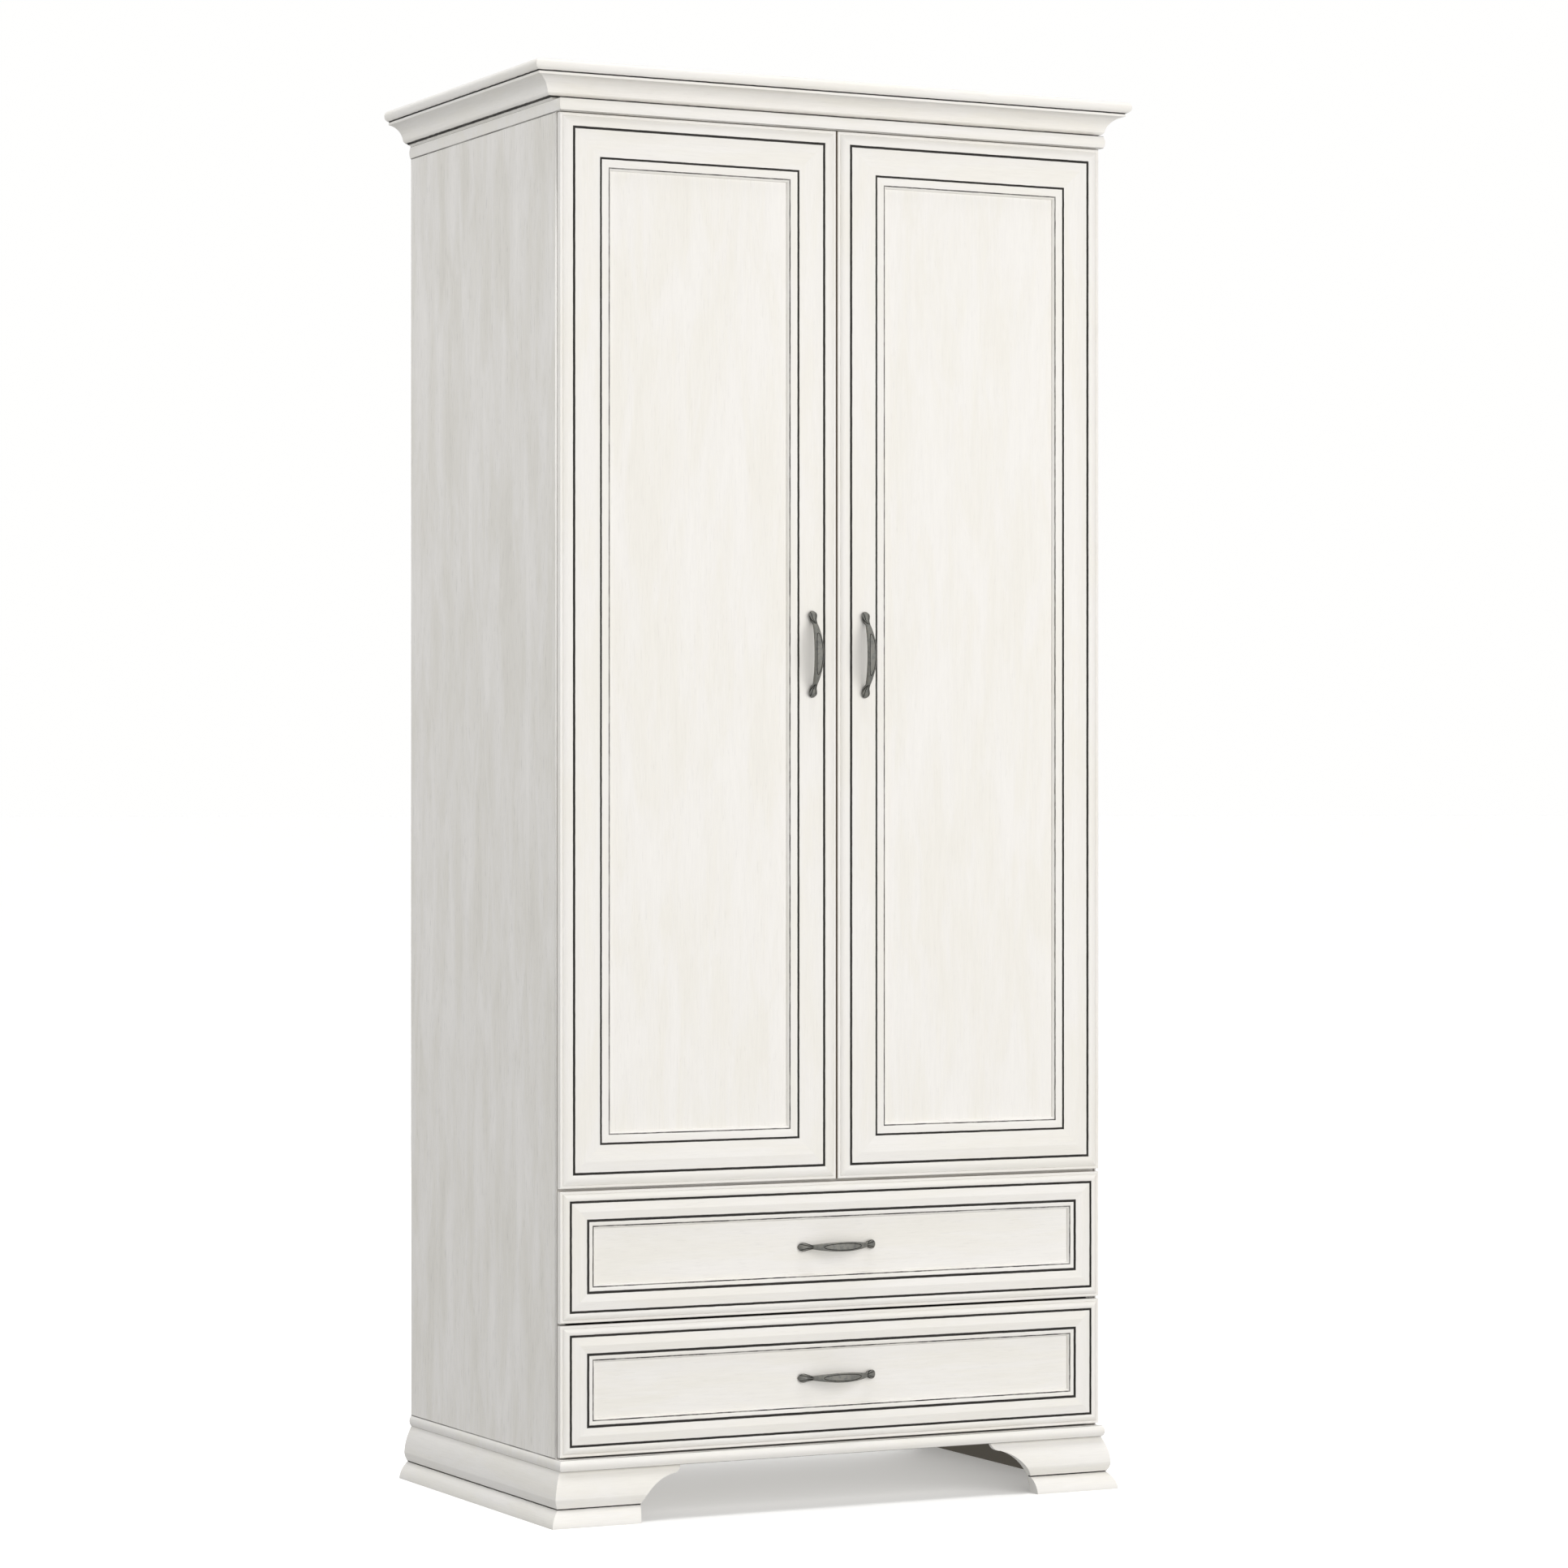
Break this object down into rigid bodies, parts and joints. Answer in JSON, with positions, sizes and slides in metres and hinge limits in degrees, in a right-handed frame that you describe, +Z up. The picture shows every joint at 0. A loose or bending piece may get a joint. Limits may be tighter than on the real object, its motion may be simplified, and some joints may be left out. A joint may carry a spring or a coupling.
{
  "type": "wardrobe with doors",
  "caption": "Tall white wardrobe with framed doors over full-width drawers, a mitred crown, bracket feet and bow handles; doors swing on cup hinges and drawers run on telescopic slides.",
  "frame": {"origin": "on the floor, midway across the width and midway between the front of the door handles and the back", "axes": "+Z up, -Y is the front with the doors and drawers, +X to the right when facing the front"},
  "size_m": [0.9826, 0.5986, 2.1],
  "materials": {
    "white_wood": "satin ivory lacquer over wood grain, dark brown patina in the grooves",
    "white_laminate": "matte white laminate with a faint wood grain",
    "white_hdf": "thin painted fibreboard, matte",
    "antique_pewter": "antique pewter casting with dark patina in the flutes",
    "steel": "zinc or nickel plated",
    "chrome": "polished chrome",
    "white_plastic": "matte white extrusion"
  },
  "bodies": {
    "carcass": {"side_panel_left": "white_laminate", "side_panel_right": "white_laminate", "top_board": "white_wood", "bottom_board": "white_wood", "divider_shelf": "white_laminate", "hat_shelf": "white_laminate", "back_panel_left": "white_hdf", "back_panel_right": "white_hdf", "back_joining_strip": "white_plastic", "hanging_rail": "chrome", "rail_sockets": "chrome", "crown_front": "white_wood", "crown_left": "white_wood", "crown_right": "white_wood", "plinth_left": "white_wood", "plinth_right": "white_wood", "bracket_foot_left": "white_wood", "bracket_foot_right": "white_wood", "corner_blocks": "white_laminate", "hinge_arms": "steel", "slide_outer_members": "steel", "cam_locks": "steel", "panel_screws": "steel", "wall_bracket": "steel"},
    "door_left": {"door_left_stile_hinge": "white_wood", "door_left_stile_meeting": "white_wood", "door_left_rail_top": "white_wood", "door_left_rail_bottom": "white_wood", "door_left_panel": "white_wood", "door_left_hinge_cups": "steel", "door_left_handle": "antique_pewter"},
    "door_right": {"door_right_stile_hinge": "white_wood", "door_right_stile_meeting": "white_wood", "door_right_rail_top": "white_wood", "door_right_rail_bottom": "white_wood", "door_right_panel": "white_wood", "door_right_hinge_cups": "steel", "door_right_handle": "antique_pewter"},
    "drawer_upper": {"drawer_upper_rails": "white_wood", "drawer_upper_stiles": "white_wood", "drawer_upper_panel": "white_wood", "drawer_upper_box_left": "white_laminate", "drawer_upper_box_right": "white_laminate", "drawer_upper_box_front": "white_laminate", "drawer_upper_box_back": "white_laminate", "drawer_upper_box_bottom": "white_hdf", "drawer_upper_slide_inner": "steel", "drawer_upper_handle": "antique_pewter"},
    "drawer_lower": {"drawer_lower_rails": "white_wood", "drawer_lower_stiles": "white_wood", "drawer_lower_panel": "white_wood", "drawer_lower_box_left": "white_laminate", "drawer_lower_box_right": "white_laminate", "drawer_lower_box_front": "white_laminate", "drawer_lower_box_back": "white_laminate", "drawer_lower_box_bottom": "white_hdf", "drawer_lower_slide_inner": "steel", "drawer_lower_handle": "antique_pewter"},
    "slide_middle_upper": {"slide_middle_upper": "steel"},
    "slide_middle_lower": {"slide_middle_lower": "steel"}
  },
  "joints": [
    {"name": "door_left_hinge", "type": "hinge", "parent": "carcass", "child": "door_left", "pos_m": [-0.437, -0.26325, 1.2558], "axis": [0, 0, -1], "range_deg": [0, 105]},
    {"name": "door_right_hinge", "type": "hinge", "parent": "carcass", "child": "door_right", "pos_m": [0.437, -0.26325, 1.2558], "axis": [0, 0, 1], "range_deg": [0, 105]},
    {"name": "drawer_upper_slide", "type": "slide", "parent": "carcass", "child": "drawer_upper", "axis": [0, -1, 0], "range_m": [0, 0.45]},
    {"name": "drawer_lower_slide", "type": "slide", "parent": "carcass", "child": "drawer_lower", "axis": [0, -1, 0], "range_m": [0, 0.45]},
    {"name": "slide_middle_upper_travel", "type": "slide", "parent": "carcass", "child": "slide_middle_upper", "axis": [0, -1, 0], "range_m": [0, 0.225]},
    {"name": "slide_middle_lower_travel", "type": "slide", "parent": "carcass", "child": "slide_middle_lower", "axis": [0, -1, 0], "range_m": [0, 0.225]}
  ],
  "couplings": [
    {"joint": "slide_middle_upper_travel", "follows": "drawer_upper_slide", "ratio": 0.5},
    {"joint": "slide_middle_lower_travel", "follows": "drawer_lower_slide", "ratio": 0.5}
  ]
}
